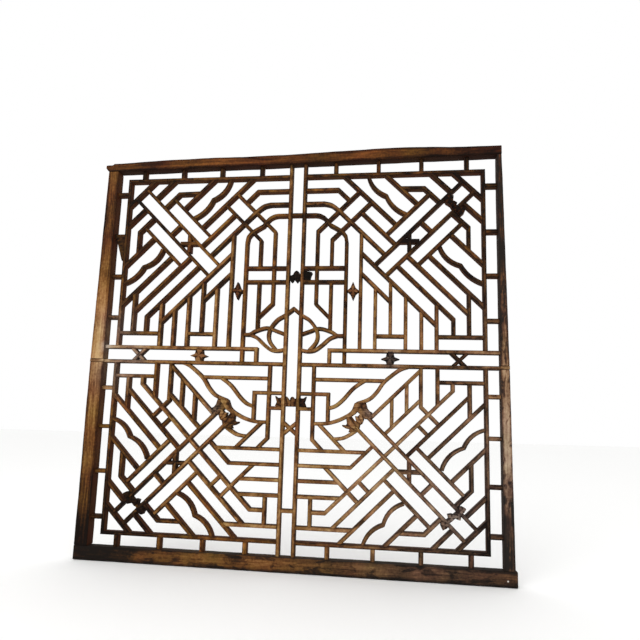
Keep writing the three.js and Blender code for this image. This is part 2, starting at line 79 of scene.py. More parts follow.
def stick(left, right, front, back, arris, pinch=None, wander=FACE_WANDER):
    """Wood between two edges: at each station a section with rounded arrises is laid from the left
    edge to the right edge and from front to back, drawn in by pinch at joints and ends."""
    left, right = np.asarray(left, float), np.asarray(right, float)
    middle, half = (left + right) / 2, (right - left) / 2
    step = np.linalg.norm(np.diff(middle, axis=0), axis=1)
    along = np.concatenate([[0], np.cumsum(step)])
    heading = np.gradient(middle, axis=0)
    heading /= np.linalg.norm(heading, axis=1)[:, None]
    square = np.abs(heading[:, 0] * half[:, 1] - heading[:, 1] * half[:, 0])
    across = half / square[:, None]
    pinch = np.zeros(len(along)) if pinch is None else pinch
    radius = arris * (1 + 0.4 * drift(along, ARRIS_WAVE))
    low, high, nose, tail = [pinch + wander * (0.5 + 0.5 * drift(along, FACE_WAVE)) for _ in range(4)]
    wide, shift = square - (low + high) / 2, (low - high) / 2
    nose, tail = front + nose, back - tail
    deep, core = (tail - nose) / 2, (tail + nose) / 2
    cx, cy, ax, ay = SECTION.T
    n = cx * (wide - radius)[:, None] + ax * radius[:, None] + shift[:, None]
    y = cy * (deep - radius)[:, None] + ay * radius[:, None] + core[:, None]
    points = np.stack([middle[:, :1] + across[:, :1] * n, y, middle[:, 1:] + across[:, 1:] * n], -1)
    i, j = np.meshgrid(np.arange(len(along) - 1), np.arange(ROUND), indexing="ij")
    around = (j + 1) % ROUND
    here, there = i * ROUND, (i + 1) * ROUND
    quads = np.stack([here + j, here + around, there + around, there + j], -1)
    k = np.arange(ROUND // 2 - 1)
    lid = np.stack([k, ROUND - 1 - k, ROUND - 2 - k, k + 1], -1)
    far = (len(along) - 1) * ROUND + lid[:, ::-1]
    section = np.stack([n, y], -1)[int(np.argmax(wide))]
    girth = np.concatenate([[0], np.cumsum(np.linalg.norm(np.roll(section, -1, 0) - section, axis=1))])
    start = along + chance.uniform(0, 9)
    grain = np.stack([
        np.stack([start[i], girth[j]], -1), np.stack([start[i], girth[j + 1]], -1),
        np.stack([start[i + 1], girth[j + 1]], -1), np.stack([start[i + 1], girth[j]], -1)], -2)
    ends = [np.stack([n[row][lid % ROUND] * 0.3 + start[0], y[row][lid % ROUND]], -1) for row in (0, -1)]
    # Marks for darkening, partly smoke and partly painted shade: side is 1 on the two side faces, edge is 1
    # round the rounded arrises.
    side = np.tile(np.abs(ax) * (ay == 0), (len(along), 1))
    edge = np.tile((np.abs(cx) > 0.9) * (cy != 0) * 1.0, (len(along), 1))
    tone = np.full(side.shape, chance.uniform(0, 1))
    return {
        "points": points.reshape(-1, 3), "quads": np.vstack([quads.reshape(-1, 4), lid, far]),
        "grain": np.vstack([part.reshape(-1, 2) for part in (grain, ends[0], ends[1][:, ::-1])]),
        "marks": np.stack([tone.ravel(), side.ravel(), edge.ravel()], -1)}


# Where the wood is dark from smoke (above 0) or rubbed pale (under 0), with one pale bell that is a
# painted highlight on the left end of the top rail, and where it has greyed: the place in pitches
# from the middle of the mid bar, the reach and the strength of each.
SMOKE_AND_GLINT = [
    ((0, 14.6), 5.5, 0.10), ((-9, 12), 5, 0.03), ((9, 10), 5.5, 0.12), ((12.3, 7), 3, 0.12),
    ((-11.4, -10), 3.4, 0.34), ((11.5, -10.5), 3, 0.10), ((12.4, -5), 2.2, 0.10), ((4, 8), 3, 0.04),
    ((-12.2, -1), 2.6, -0.16), ((-3, -4), 5, -0.06), ((3, -7), 5, -0.06), ((10.5, 0.5), 2.2, 0.10),
    ((-14.2, 14), 4, 0.34), ((-14.2, 8.5), 3, 0.20), ((-14.2, 2.5), 3.5, -0.10), ((-14.2, -5), 3.5, -0.06),
    ((-14, -12.4), 1.9, 0.32), ((13.8, 13.6), 3.6, 0.28), ((13.9, 7.6), 1.1, 0.40), ((13.8, 3.5), 2.4, 0.08),
    ((13.8, -4), 3.4, -0.21), ((13.9, -10.5), 2.2, 0.32), ((-12.6, -12.8), 1.6, 0.22),
    ((-10.6, -12.8), 0.6, 0.26), ((-5, -13), 2, -0.04), ((3.1, -12.9), 0.8, 0.20), ((7, -12.8), 1.3, 0.22),
    ((10.9, 0.5), 0.6, 0.45), ((-10.9, 0.5), 0.25, 0.3), ((7.8, 8.6), 0.8, 0.45), ((-7.7, 8.4), 0.5, 0.12),
    # The pale bell at (-13.2, 14.9) is a painted highlight: the glint on the left end of the top rail.
    ((11, 10.8), 1.2, 0.25), ((10, -13), 1.3, 0.12), ((13, -12.8), 1.9, 0.10), ((-13.2, 14.9), 1.5, -0.32),
    ((9, 14.9), 4, 0.06), ((-13.3, 1.18), 0.3, -0.5), ((-13.35, 0.18), 0.3, -0.4), ((4, 5), 0.2, -0.2),
    ((12.9, -4.6), 0.5, -0.14)]
GREY = [
    ((10, -8), 6, 0.14), ((13.8, -5), 5, 0.16), ((-12.4, 2.6), 1.3, 0.34), ((-12.4, -0.6), 1.5, 0.34),
    ((12.8, 3), 3, 0.12), ((9, -13), 6, 0.12), ((-13.3, 1.18), 0.3, 0.45), ((10.7, -9.5), 0.9, 0.3),
    ((6.6, 0.4), 0.6, 0.5), ((5.2, -3.1), 0.4, 0.3), ((-5.2, -3), 0.4, 0.4), ((-10.9, 0.5), 0.7, 0.3)]
# Bands across the whole window: height in pitches, reach and darkness of the foot, that has stood in
# wet, and of the paler wood along the mid bars.
BANDS = [(-13.35, 0.22, 0.3), (0.5, 1.2, -0.06)]
BASE_DARKNESS = 0.40
DARKER_UPWARD = 0.004
DARKER_OUTWARD = 0.008
PLAIN_HALF = 6


def bells(places, x, z):
    """Sum of the bells of a table at points x, z: each falls off with the square of the distance."""
    return sum(strength * np.exp(-((x - u) ** 2 + (z - v) ** 2) / reach ** 2)
               for (u, v), reach, strength in places)


def stains_at(points):
    """Darkness and greyness of the wood at points: the bells and the bands, on a base that grows
    a little with each pitch up, and with each pitch out from the plain middle."""
    x, z = points[:, 0] / PITCH, (points[:, 2] - MID_BAR) / PITCH
    base = BASE_DARKNESS + DARKER_UPWARD * z + DARKER_OUTWARD * np.maximum(np.abs(x) - PLAIN_HALF, 0)
    base = base + sum(strength * np.exp(-((z - v) / reach) ** 2) for v, reach, strength in BANDS)
    return base + bells(SMOKE_AND_GLINT, x, z), bells(GREY, x, z)


def add_piece(name, parts, material, node):
    """Puts the parts of one piece into a mesh, with its grain as a UV map and its marks as
    attributes, rides it on the window and lets it stand for its node."""
    starts = np.cumsum([0] + [len(p["points"]) for p in parts])
    points = np.vstack([p["points"] for p in parts])
    quads = np.vstack([p["quads"] + s for p, s in zip(parts, starts)])
    mesh = bpy.data.meshes.new(name)
    mesh.from_pydata(points.tolist(), [], quads.tolist())
    grain = np.vstack([p["grain"] for p in parts])
    mesh.uv_layers.new(name="grain").data.foreach_set("uv", grain.ravel())
    marks = np.vstack([p["marks"] for p in parts])
    for label, values in zip(("tone", "side", "edge", "smoke_and_glint", "grey"), [*marks.T, *stains_at(points)]):
        mesh.attributes.new(label, "FLOAT", "POINT").data.foreach_set("value", values.astype(np.float32))
    mesh.polygons.foreach_set("use_smooth", np.ones(len(quads), bool))
    mesh.materials.append(material)
    piece = bpy.data.objects.new(name, mesh)
    bpy.context.scene.collection.objects.link(piece)
    even = piece.modifiers.new("even_normals", "WEIGHTED_NORMAL")
    even.weight = 80
    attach(piece, "root")
    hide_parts(node)
    return piece


def linear(hex_colour):
    """An sRGB hex colour as the linear RGBA that a shader takes."""
    srgb = np.array([int(hex_colour[k:k + 2], 16) for k in (1, 3, 5)]) / 255
    rgb = np.where(srgb <= 0.04045, srgb / 12.92, ((srgb + 0.055) / 1.055) ** 2.4)
    return (*rgb.tolist(), 1.0)


def add_node(material, kind, inputs=None, **settings):
    """Adds one node with its settings, and sets or links its inputs."""
    made = material.node_tree.nodes.new(kind)
    for key, value in settings.items():
        setattr(made, key, value)
    for key, value in (inputs or {}).items():
        if isinstance(value, bpy.types.NodeSocket):
            material.node_tree.links.new(value, made.inputs[key])
        else:
            made.inputs[key].default_value = value
    return made


STREAK_LENGTH = 0.11
SPECK_MM = 8
PIECE_SWING = 0.24
SPECK_SWING = 0.55
HUE_CENTRE = 0.494
HUE_SWING = 0.06
# How much the rounded arrises are darkened: partly soot, partly painted shade.
ARRIS_SOOT_AND_SHADE = 0.25


def old_wood(name, tones, side_smoke_and_shade, line_mm, patch_mm, patchiness, soot, lift):
    """Planed softwood under worn oil and smoke: tones run from the palest to the darkest, streaked
    along the grain every few millimetres and clouded in patches, some redder and some greener, with
    soot in drawn-out stains. The arrises are darkened, partly soot and partly painted shade, and the
    side faces between two bars are mixed towards a darker colour given for them, partly smoke and
    partly painted shade."""
    wood = bpy.data.materials.new(name)
    wood.use_nodes = True
    shader = wood.node_tree.nodes["Principled BSDF"]
    grain = add_node(wood, "ShaderNodeUVMap", uv_map="grain").outputs["UV"]
    place = add_node(wood, "ShaderNodeTexCoord").outputs["Object"]
    read = {label: add_node(wood, "ShaderNodeAttribute", attribute_name=label).outputs["Fac"]
            for label in ("tone", "side", "edge", "smoke_and_glint", "grey")}

    def noise(vector, per_metre, detail, roughness, distortion=0.0):
        return add_node(wood, "ShaderNodeTexNoise", {
            "Vector": vector, "Scale": per_metre, "Detail": detail, "Roughness": roughness,
            "Distortion": distortion}).outputs[0]

    def math(operation, a, b):
        return add_node(wood, "ShaderNodeMath", {0: a, 1: b}, operation=operation).outputs[0]

    def swing(value, amount):
        return math("MULTIPLY", math("SUBTRACT", value, 0.5), amount)

    drawn = add_node(wood, "ShaderNodeMapping", {
        "Vector": grain, "Scale": (1 / STREAK_LENGTH, 1000 / line_mm, 1)})
    lines = noise(drawn.outputs[0], 1.0, 5.0, 0.62, 0.5)
    clouds = noise(place, 1000 / patch_mm, 4.0, 0.6, 0.2)
    specks = noise(place, 1000 / SPECK_MM, 3.0, 0.7)
    spread = add_node(wood, "ShaderNodeMapping", {
        "Vector": grain, "Scale": (1000 / (1.1 * patch_mm), 1000 / (0.4 * patch_mm), 1)})
    grime = add_node(wood, "ShaderNodeMapRange", {
        "Value": noise(spread.outputs[0], 1.0, 5.0, 0.66, 0.6), "From Min": 0.5, "From Max": 0.6},
        interpolation_type="SMOOTHSTEP").outputs[0]
    warmth = noise(place, 1000 / (1.4 * patch_mm), 3.0, 0.6)
    shade = math("ADD", math("ADD", read["smoke_and_glint"], swing(read["tone"], PIECE_SWING)), swing(lines, 1.0))
    shade = math("ADD", math("ADD", shade, swing(clouds, patchiness)), swing(specks, SPECK_SWING))
    shade = math("ADD", math("ADD", shade, math("MULTIPLY", grime, soot)), lift)
    # Darker where the edge mark lies, round the arrises and in the carvings' rims and creases: partly soot,
    # partly painted shade.
    shade = math("ADD", shade, math("MULTIPLY", read["edge"], ARRIS_SOOT_AND_SHADE))
    ramp = add_node(wood, "ShaderNodeValToRGB", {"Fac": shade})
    stops = ramp.color_ramp.elements
    stops[0].position, stops[0].color = 0.0, linear(tones[0])
    stops[1].position, stops[1].color = 1.0, linear(tones[-1])
    for k, tone in enumerate(tones[1:-1], 1):
        stops.new(k / (len(tones) - 1)).color = linear(tone)
    # Side faces, and the walls and creases of carvings, are mixed towards the darker side colour: partly
    # smoke, partly painted shade.
    depth = math("MULTIPLY", read["side"], math("ADD", 0.62, math("MULTIPLY", clouds, 0.45)))
    colour = add_node(wood, "ShaderNodeMix", {0: depth, 6: ramp.outputs[0], 7: linear(side_smoke_and_shade)},
                      data_type="RGBA").outputs[2]
    greyed = add_node(wood, "ShaderNodeHueSaturation", {
        "Hue": math("ADD", HUE_CENTRE, swing(warmth, HUE_SWING)),
        "Saturation": math("SUBTRACT", 1.0, read["grey"]), "Color": colour}).outputs[0]
    wood.node_tree.links.new(greyed, shader.inputs["Base Color"])
    gloss = add_node(wood, "ShaderNodeMapRange", {"Value": lines, "To Min": 0.64, "To Max": 0.88})
    wood.node_tree.links.new(gloss.outputs[0], shader.inputs["Roughness"])
    height = math("ADD", lines, math("MULTIPLY", clouds, 0.6))
    bump = add_node(wood, "ShaderNodeBump", {"Height": height, "Strength": 0.6, "Distance": 0.6 * MM})
    wood.node_tree.links.new(bump.outputs[0], shader.inputs["Normal"])
    shader.inputs["IOR"].default_value = 1.48
    shader.inputs["Specular IOR Level"].default_value = 0.07
    return wood


# Fir under worn brown oil, handled and scrubbed: mottled, with black stains at both ends.
bottom_wood = old_wood("oiled_fir_bottom_rail", ["#94703e", "#6e4c24", "#4e3419", "#2e2014", "#191410"],
                       "#20160d", 7, 60, 0.8, 0.3, 0.0)


def ends_in(length, amount=1.2 * MM):
    """How much each station is drawn in near the two ends of a piece, to round its end arrises."""
    near = np.minimum(length, length[-1] - length)
    return amount * np.clip(1 - near / amount, 0, 1) ** 2


def spaced(start, stop, spacing):
    """Stations from start to stop, closer together at the two ends."""
    count = max(int(abs(stop - start) / spacing), 2)
    tight = np.array([0, 0.4, 1.2]) * MM
    inner = np.linspace(abs(tight[-1]), abs(stop - start) - tight[-1], count + 1)[1:-1]
    return start + np.sign(stop - start) * np.concatenate([tight, inner, abs(stop - start) - tight[::-1]])


x = spaced(-OPENING_HALF - LEFT_STILE, OPENING_HALF + RIGHT_STILE_FOOT + RAIL_END, 14 * MM)
bottom = stick(np.stack([x, np.full(len(x), BOTTOM_RAIL)], -1), np.stack([x, np.zeros(len(x))], -1),
               -FRAME_HALF_DEPTH, FRAME_HALF_DEPTH, 2.2 * MM, ends_in(np.abs(x - x[0])), 0.9 * MM)
add_piece("bottom_rail_worn", [bottom], bottom_wood, "bottom_rail")

# A small round pale spot is painted on its right end, where a nail is.
PALE_SPOT = (652 * MM, -FRAME_HALF_DEPTH, 18 * MM)
PALE_SPOT_RADIUS = 2.2 * MM
place = add_node(bottom_wood, "ShaderNodeTexCoord").outputs["Object"]
away = add_node(bottom_wood, "ShaderNodeVectorMath", {0: place, 1: PALE_SPOT}, operation="DISTANCE")
spot_share = add_node(bottom_wood, "ShaderNodeMapRange", {
    "Value": away.outputs["Value"], "From Min": 0.7 * PALE_SPOT_RADIUS, "From Max": 1.3 * PALE_SPOT_RADIUS,
    "To Min": 1.0, "To Max": 0.0})
finish = bottom_wood.node_tree.nodes["Principled BSDF"].inputs["Base Color"]
spot_mix = add_node(bottom_wood, "ShaderNodeMix", {
    0: spot_share.outputs[0], 6: finish.links[0].from_socket, 7: linear("#d8d2c6")}, data_type="RGBA")
bottom_wood.node_tree.links.new(spot_mix.outputs[2], finish)

# Top rail. A heavier, half-round stick of reddish fir that keeps the tree's swell on its upper edge;
# its left end is dressed to a blunt horn with a small step, and it runs over both stiles.

TOP_RAIL = 30 * MM
LEFT_STILE_TOP = 38 * MM
RIGHT_STILE_TOP = 15 * MM
HORN = 11 * MM
HORN_STEP = 5 * MM
SWELL_AT = np.array([-0.97, -0.7, -0.45, -0.3, -0.05, 0.1, 0.44, 0.54, 0.67, 0.78, 1.0])
SWELL = np.array([0, 5, 5.5, 3, 3, 5, 10, 10, 7, 2, 0]) * MM

left_end = -OPENING_HALF - LEFT_STILE_TOP
x = spaced(left_end - HORN, OPENING_HALF + RIGHT_STILE_TOP, 12 * MM)
x = np.sort(np.concatenate([x, left_end - HORN + HORN * np.array([0.12, 0.25, 0.45, 0.7]),
                            left_end + LEFT_STILE_TOP * np.array([0.33, 0.38, 0.46, 0.5])]))
upper = OPENING_TOP + TOP_RAIL + np.interp(x, SWELL_AT * OPENING_HALF, SWELL)
step_down = np.clip((left_end + 0.5 * LEFT_STILE_TOP - x) / (0.17 * LEFT_STILE_TOP), 0, 1)
upper = upper - HORN_STEP * step_down
lower = OPENING_TOP + TOP_RAIL / 3 * np.clip((left_end - x) / (0.8 * HORN), 0, 1)
blunt = np.clip((x - left_end + HORN) / (0.45 * HORN), 0, 1)
rounding = 1 - 0.45 * (1 - np.sqrt(1 - (1 - blunt) ** 2))
centre, reach = (upper + lower) / 2, (upper - lower) / 2 * rounding
# Fir under worn reddish oil: long soft streaks and hardly a stain; its left end is painted paler, a painted
# highlight where it glints.
rail_wood = old_wood("reddish_fir_top_rail", ["#a87034", "#7a4c20", "#543214", "#301a0c", "#140b06"],
                     "#26140a", 12, 110, 0.35, 0.12, -0.09)
top = stick(np.stack([x, centre + reach], -1), np.stack([x, centre - reach], -1),
            -FRAME_HALF_DEPTH, FRAME_HALF_DEPTH, 3 * MM, ends_in(np.abs(x - x[0])), 0.5 * MM)
add_piece("top_rail_worn", [top], rail_wood, "top_rail")

# Stiles. Two lengths of fir a side, never dressed to one width, that meet at the mid bar: tan and
# bare on the lower left, brown and smoked on the upper right, stained black at the right foot.

CLEARANCE = 0.3 * MM
BAR_FACE = 12 * MM
RIGHT_STILE = 26 * MM
RACK = 0.0135


def rack_share(z):
    """How far the racking has grown at a height in pitches: nothing at -10 and all of it at 3."""
    return np.clip((z + 10) / 13, 0, 1)


def joint_height(side):
    """Height at which the mid bar runs out between the two lengths of a stile."""
    return MID_BAR - side * OPENING_HALF * RACK * rack_share(0)


def stile(side, foot, head, low, high):
    """A stile length: straight inner edge at the opening, outer edge from one width to another."""
    z = spaced(low, high, 16 * MM)
    width = np.interp(z, [low, high], [foot, head])
    inner = np.stack([np.full(len(z), side * OPENING_HALF), z], -1)
    outer = np.stack([side * (OPENING_HALF + width), z], -1)
    edges = (outer, inner) if side < 0 else (inner, outer)
    return stick(*edges, -FRAME_HALF_DEPTH, FRAME_HALF_DEPTH, 2 * MM, ends_in(z - z[0]), 0.7 * MM)


# Scrubbed fir, dull and tan with fine grain, and oiled fir, mottled from pale brown to black.
tan_wood = old_wood("scrubbed_fir_left_stile", ["#b3935c", "#967140", "#6b4720", "#402610", "#140d08"],
                    "#3c200d", 6, 90, 0.4, 0.1, -0.04)
brown_wood = old_wood("oiled_fir_right_stile", ["#a98d66", "#8a6a46", "#5e3e22", "#35241a", "#211c18"],
                      "#24160d", 6, 55, 0.9, 0.34, -0.08)
for hand, side, foot, middle, head, wood in (
        ("left", -1, LEFT_STILE, LEFT_STILE, LEFT_STILE_TOP, tan_wood),
        ("right", 1, RIGHT_STILE_FOOT, RIGHT_STILE, RIGHT_STILE_TOP, brown_wood)):
    gap = BAR_FACE / 2 + CLEARANCE
    lower_length = stile(side, foot, middle, BOTTOM_RAIL + CLEARANCE, joint_height(side) - gap)
    upper_length = stile(side, middle, head, joint_height(side) + gap, OPENING_TOP - CLEARANCE)
    add_piece(f"{hand}_lower_stile_worn", [lower_length], wood, f"{hand}_lower_stile")
    add_piece(f"{hand}_upper_stile_worn", [upper_length], wood, f"{hand}_upper_stile")

# Mullions, mid bars and band bars. The long straight bars that the rest of the lattice is mortised
# to: square-edged fir, tenoned into the frame; the mid bar shows as a block across each stile.

BAR_FRONT = -6.5 * MM
BAR_BACK = 15.5 * MM
MULLION = 0.5
BAND = 1
INTO_FRAME = 0.2
SOCKET = 13.41 + INTO_FRAME
SILL = -12.36 - INTO_FRAME
HEAD = 14.18 + INTO_FRAME
BAR_ARRIS = 1.1 * MM
BAR_STATION = 15 * MM
END_PINCH = 0.6 * MM
BEND_PINCH = 0.45 * MM
PINCH_LENGTH = 0.9 * MM
MITRE_GAP = 0.3 * MM
BUTT_BITE = 0.5 * MM
LEVEL_MM = 0.22
# Sines of the angle from which an end butts against a bar, and from which a bend is mitred.
BUTT_TURN = 0.4
MITRED_TURN = 0.3


def post(u, start, stop):
    return [[u, start], [u, stop]]


def rail(z, start, stop):
    return [[start, z], [stop, z]]


def set_out(side, path):
    """Layout points in pitches from the centre line and the mid bar, as x and z in metres, with
    the racking: the lattice rides up on the left and down on the right."""
    u, z = np.asarray(path, float).T
    return np.stack([side * u * PITCH, MID_BAR + (z - side * u * RACK * rack_share(z)) * PITCH], -1)


laid = []  # every straight or bent run of the lattice so far planned, for the joints between bars


def shoulder(end, inward, own):
    """The side of the bar that an end butts against, as a point and a normal, or None."""
    best = None
    for number, (path, face) in enumerate(laid):
        if number == own:
            continue
        a, b = path[:-1], path[1:]
        run = b - a
        size = np.linalg.norm(run, axis=1)
        t = ((end - a) * run).sum(1) / size ** 2
        away = np.linalg.norm(end - a - np.clip(t, 0, 1)[:, None] * run, axis=1)
        k = int(np.argmin(away))
        way = run[k] / size[k]
        turned = abs(inward[0] * way[1] - inward[1] * way[0])
        clear = min(t[k], 1 - t[k]) * size[k]
        if away[k] < 0.45 * face and turned > BUTT_TURN and clear > -0.3 * face:
            if best is None or away[k] < best[0]:
                normal = np.array([-way[1], way[0]])
                normal = normal * np.sign(normal @ inward)
                best = (away[k], a[k] + normal * (face / 2 - BUTT_BITE), normal)
    return best


def bar(number, recess, darker):
    """A bar along its planned path: strips of one width with mitred bends, whose ends are cut along
    the side of what they butt against, or plumb on the centre line, where two bars meet in a mitre;
    at a sharp bend the joint is drawn in to a fine groove."""
    path, face = laid[number]
    way = np.diff(path, axis=0)
    size = np.linalg.norm(way, axis=1)
    way = way / size[:, None]
    before, after = np.vstack([way[:1], way]), np.vstack([way, way[-1:]])
    both = before + after
    offset = np.stack([-both[:, 1], both[:, 0]], -1) * (face / 2) / (1 + (before * after).sum(1))[:, None]
    left, right = path + offset, path - offset
    for end, heading in ((0, way[0]), (-1, -way[-1])):
        found = shoulder(path[end], heading, number)
        if found is None and abs(path[end, 0]) < 0.1 * PITCH:
            plumb = np.array([np.sign(path[end, 0]), 0.0])
            found = (0.0, plumb * MITRE_GAP, plumb)
        if found is not None:
            _, foot, normal = found
            for edge in (left, right):
                edge[end] += heading * ((foot - edge[end]) @ normal) / (heading @ normal)
    bend = np.abs(before[:, 0] * after[:, 1] - before[:, 1] * after[:, 0]) > MITRED_TURN
    at, pinch = [0.0], [END_PINCH]
    for k, length in enumerate(size):
        near = PINCH_LENGTH / length
        steps = np.linspace(0, 1, max(int(length / BAR_STATION), 1) + 1)[1:-1]
        steps = steps[(steps > 2 * near) & (steps < 1 - 2 * near)]
        head = [k + near] if k == 0 or bend[k] else []
        tail = [k + 1 - near] if k == len(size) - 1 or bend[k + 1] else []
        at += [*head, *(k + steps), *tail, k + 1.0]
        last = END_PINCH if k == len(size) - 1 else BEND_PINCH * bend[k + 1]
        pinch += [0.0] * (len(head) + len(steps) + len(tail)) + [last]
    whole = np.arange(len(path))
    edges = [np.stack([np.interp(at, whole, edge[:, 0]), np.interp(at, whole, edge[:, 1])], -1)
             for edge in (left, right)]
    piece = stick(*edges, BAR_FRONT + recess, BAR_BACK - recess, BAR_ARRIS, np.array(pinch))
    piece["marks"][:, 0] += darker
    return piece


planned = {}


def plan(node, side, paths, level, face=BAR_FACE, darker=0.0):
    """Plans the runs of a node. Level says how deep it lies where it crosses another: each level is
    a fifth of a millimetre, as the bars were planed off after the crossings were cut."""
    for path in paths:
        laid.append((set_out(side, path), face))
        planned.setdefault(node, []).append((len(laid) - 1, level * LEVEL_MM * MM, darker))


HANDS = (("left", -1), ("right", 1))
for hand, side in HANDS:
    plan(f"{hand}_mullion", side, [post(MULLION, SILL, HEAD)], 0)
    plan(f"{hand}_mid_bar", side, [rail(0, SOCKET, MULLION)], 1)
    plan(f"{hand}_band_bar", side, [[[SOCKET, BAND], [2.5, BAND], [2.5, 0]]], 1)

# Ribbons. Two long diagonals bound by a tie in each quarter, with a short one on either side, and
# the through bar that crosses the lower pair. Straight-grained fir, lapped where they cross.


def outward(shift, start, stop):
    return [[start, start + shift], [stop, stop + shift]]


def inward(total, start, stop):
    return [[start, total - start], [stop, total - stop]]


BLOCK_FACE = 14 * MM
for hand, side in HANDS:
    flower = 0.62 if side < 0 else 0.72
    plan(f"{hand}_lower_ribbons", side,
         [inward(1.73, 4.95, 11.87), inward(0.28, 4.35, 11.14), outward(-16.7, 9.2, 8.49),
          [[10.82, -9.13], [10.09, -9.77]]], 2)
    plan(f"{hand}_lower_ribbons", side,
         [post(7.78, -6.78 - flower, -6.78 + flower), rail(-6.78, 7.78 - flower, 7.78 + flower)],
         4, BLOCK_FACE, 1.0)
    plan(f"{hand}_upper_ribbons", side,
         [outward(1.43, 11.24, 5.41), outward(-0.05, 11.97, 6.15), inward(18.33, 8.45, 9.19)], 2)
    plan(f"{hand}_upper_ribbons", side,
         [post(7.72, 8.5 - 0.66, 8.5 + 0.66), rail(8.5, 7.72 - 0.66, 7.72 + 0.66)], 4, BLOCK_FACE, 0.3)
    plan(f"{hand}_lower_through_bar", side, [[[10.5, -1], [10.5, -1.55], [2.47, -9.58], [1.5, -9.58]]], 4)
    plan(f"{hand}_lower_outer_ribbon", side, [inward(3, 8.21, 11.15)], 5)
    plan(f"{hand}_lower_inner_ribbon", side, [inward(-1.12, 6.15, 9.09)], 5)
    plan(f"{hand}_upper_inner_ribbon", side, [outward(2.8, 9.1, 6.1)], 5)
    plan(f"{hand}_upper_outer_ribbon", side, [outward(-1.43, 11.2, 8.2)], 5)

# Borders. A bar all round inside the frame, stood off it by short blocks, with the bars that start
# from it: plain diagonals, bent stubs and two cloud-edged bars sawn from wider stock, per quarter.

BORDER_GAP = 41 * MM / PITCH
BORDER = SOCKET - INTO_FRAME - BORDER_GAP
LOWER_BORDER = SILL + INTO_FRAME + BORDER_GAP
UPPER_BORDER = HEAD - INTO_FRAME - BORDER_GAP


def cloud(start, cusp, stop, rise, second_rise):
    """A cloud edge: two parabolic arcs, each as high as its rise, that meet in a cusp."""
    t = np.linspace(0, 1, 8)[:, None]
    arcs = []
    for a, b, lift in ((start, cusp, rise), (cusp, stop, second_rise)):
        a, b = np.array(a, float), np.array(b, float)
        square = np.array([-(b - a)[1], (b - a)[0]])
        arcs.append(a + (b - a) * t + square * 4 * lift * t * (1 - t))
    return np.vstack([arcs[0], arcs[1][1:]])


for hand, side in HANDS:
    plan(f"{hand}_lower_border", side, [
        [[BORDER, 0], [BORDER, LOWER_BORDER], [MULLION, LOWER_BORDER]], rail(-1, BORDER, 9.55),
        post(9.55, 0, -2.5), post(11.55, -1, -3.28), outward(-13.42, 11.5, 7.57),
        outward(-14.83, BORDER, 8.9), outward(-17.7, BORDER, 10.35), outward(-20.66, BORDER, 11.2),
        outward(-22.16, BORDER, 10.63), outward(-20.66, 10.47, 9.13), outward(-17.7, 8.35, 6.17),
        outward(-14.83, 6.86, 3.3), [[11.6, -6.1], [11.6, -7.8], [10.5, -8.9]],
        [[9.79, -9.51], [8.72, -10.58], [7.12, -10.58]], inward(4.5, 8.28, 8.96),
        cloud([BORDER, -3.95], [11.15, -5.15], [9.78, -6.6], -0.13, -0.13),
        cloud([7.45, -8.75], [6.18, -10.12], [4.9, LOWER_BORDER], -0.13, -0.13)], 3)
    plan(f"{hand}_lower_border", side, [rail(z, BORDER, SOCKET) for z in (-1.85, -4.5, -7.5, -10.5)]
         + [post(u, LOWER_BORDER, SILL) for u in (11.54, 8.52, 5.55, 2.67)], 5, BLOCK_FACE, -0.2)
    plan(f"{hand}_upper_border", side, [
        [[BORDER, BAND], [BORDER, UPPER_BORDER], [MULLION, UPPER_BORDER]], rail(2, BORDER, 9.5),
        post(11.56, 2, 4.95), [[10.57, 2], [10.57, 3.17], [6.87, 6.87]], inward(15.08, 11.56, 7.57),
        inward(16.51, BORDER, 8.97), inward(16.52, 6.86, 3.19), inward(19.37, BORDER, 10.4),
        inward(19.39, 8.27, 6.06), inward(22.38, BORDER, 11.24), inward(22.41, 10.5, 9.08),
        inward(23.9, BORDER, 10.57), [[11.58, 7.78], [11.58, 9.4], [10.5, 10.48]],
        [[9.75, 11.2], [8.7, 12.25], [7.05, 12.28]],
        cloud([BORDER, 5.55], [11.05, 6.8], [9.7, 8.1], 0.1, 0.13),
        cloud([7.5, 10.4], [6.15, 11.75], [4.9, UPPER_BORDER], 0.1, 0.13)], 3)
    plan(f"{hand}_upper_border", side,
         [rail(z, BORDER, SOCKET) for z in (3.1, 6.1, 9.1, 12.3)], 5, BLOCK_FACE, -0.6)
    plan(f"{hand}_upper_border", side,
         [post(u, UPPER_BORDER, HEAD) for u in (11.5, 8.5, 5.6, 2.65)], 5, BLOCK_FACE, 0.5)

# Hanging bars, hanging scrolls and rungs under the mid bar. The scrolls are sawn in curves from
# wider stock and pointed where their arcs meet; the rungs are plain short bars.


def curve(points):
    """A smooth curve through points: a cubic between each two, whose slopes follow the neighbours."""
    p = np.asarray(points, float)
    fore, aft = np.vstack([p[:1], p[:-1]]), np.vstack([p[2:], p[-1:], p[-1:]])
    a, b = p[:-1], p[1:]
    v0, v1 = (b - fore[:-1]) / 2, (aft[:-1] - a) / 2
    t = np.linspace(0, 1, 6)[:-1][:, None, None]
    spans = (2 * a - 2 * b + v0 + v1) * t ** 3 + (-3 * a + 3 * b - 2 * v0 - v1) * t ** 2 + v0 * t + a
    return np.vstack([spans.transpose(1, 0, 2).reshape(-1, 2), p[-1:]])


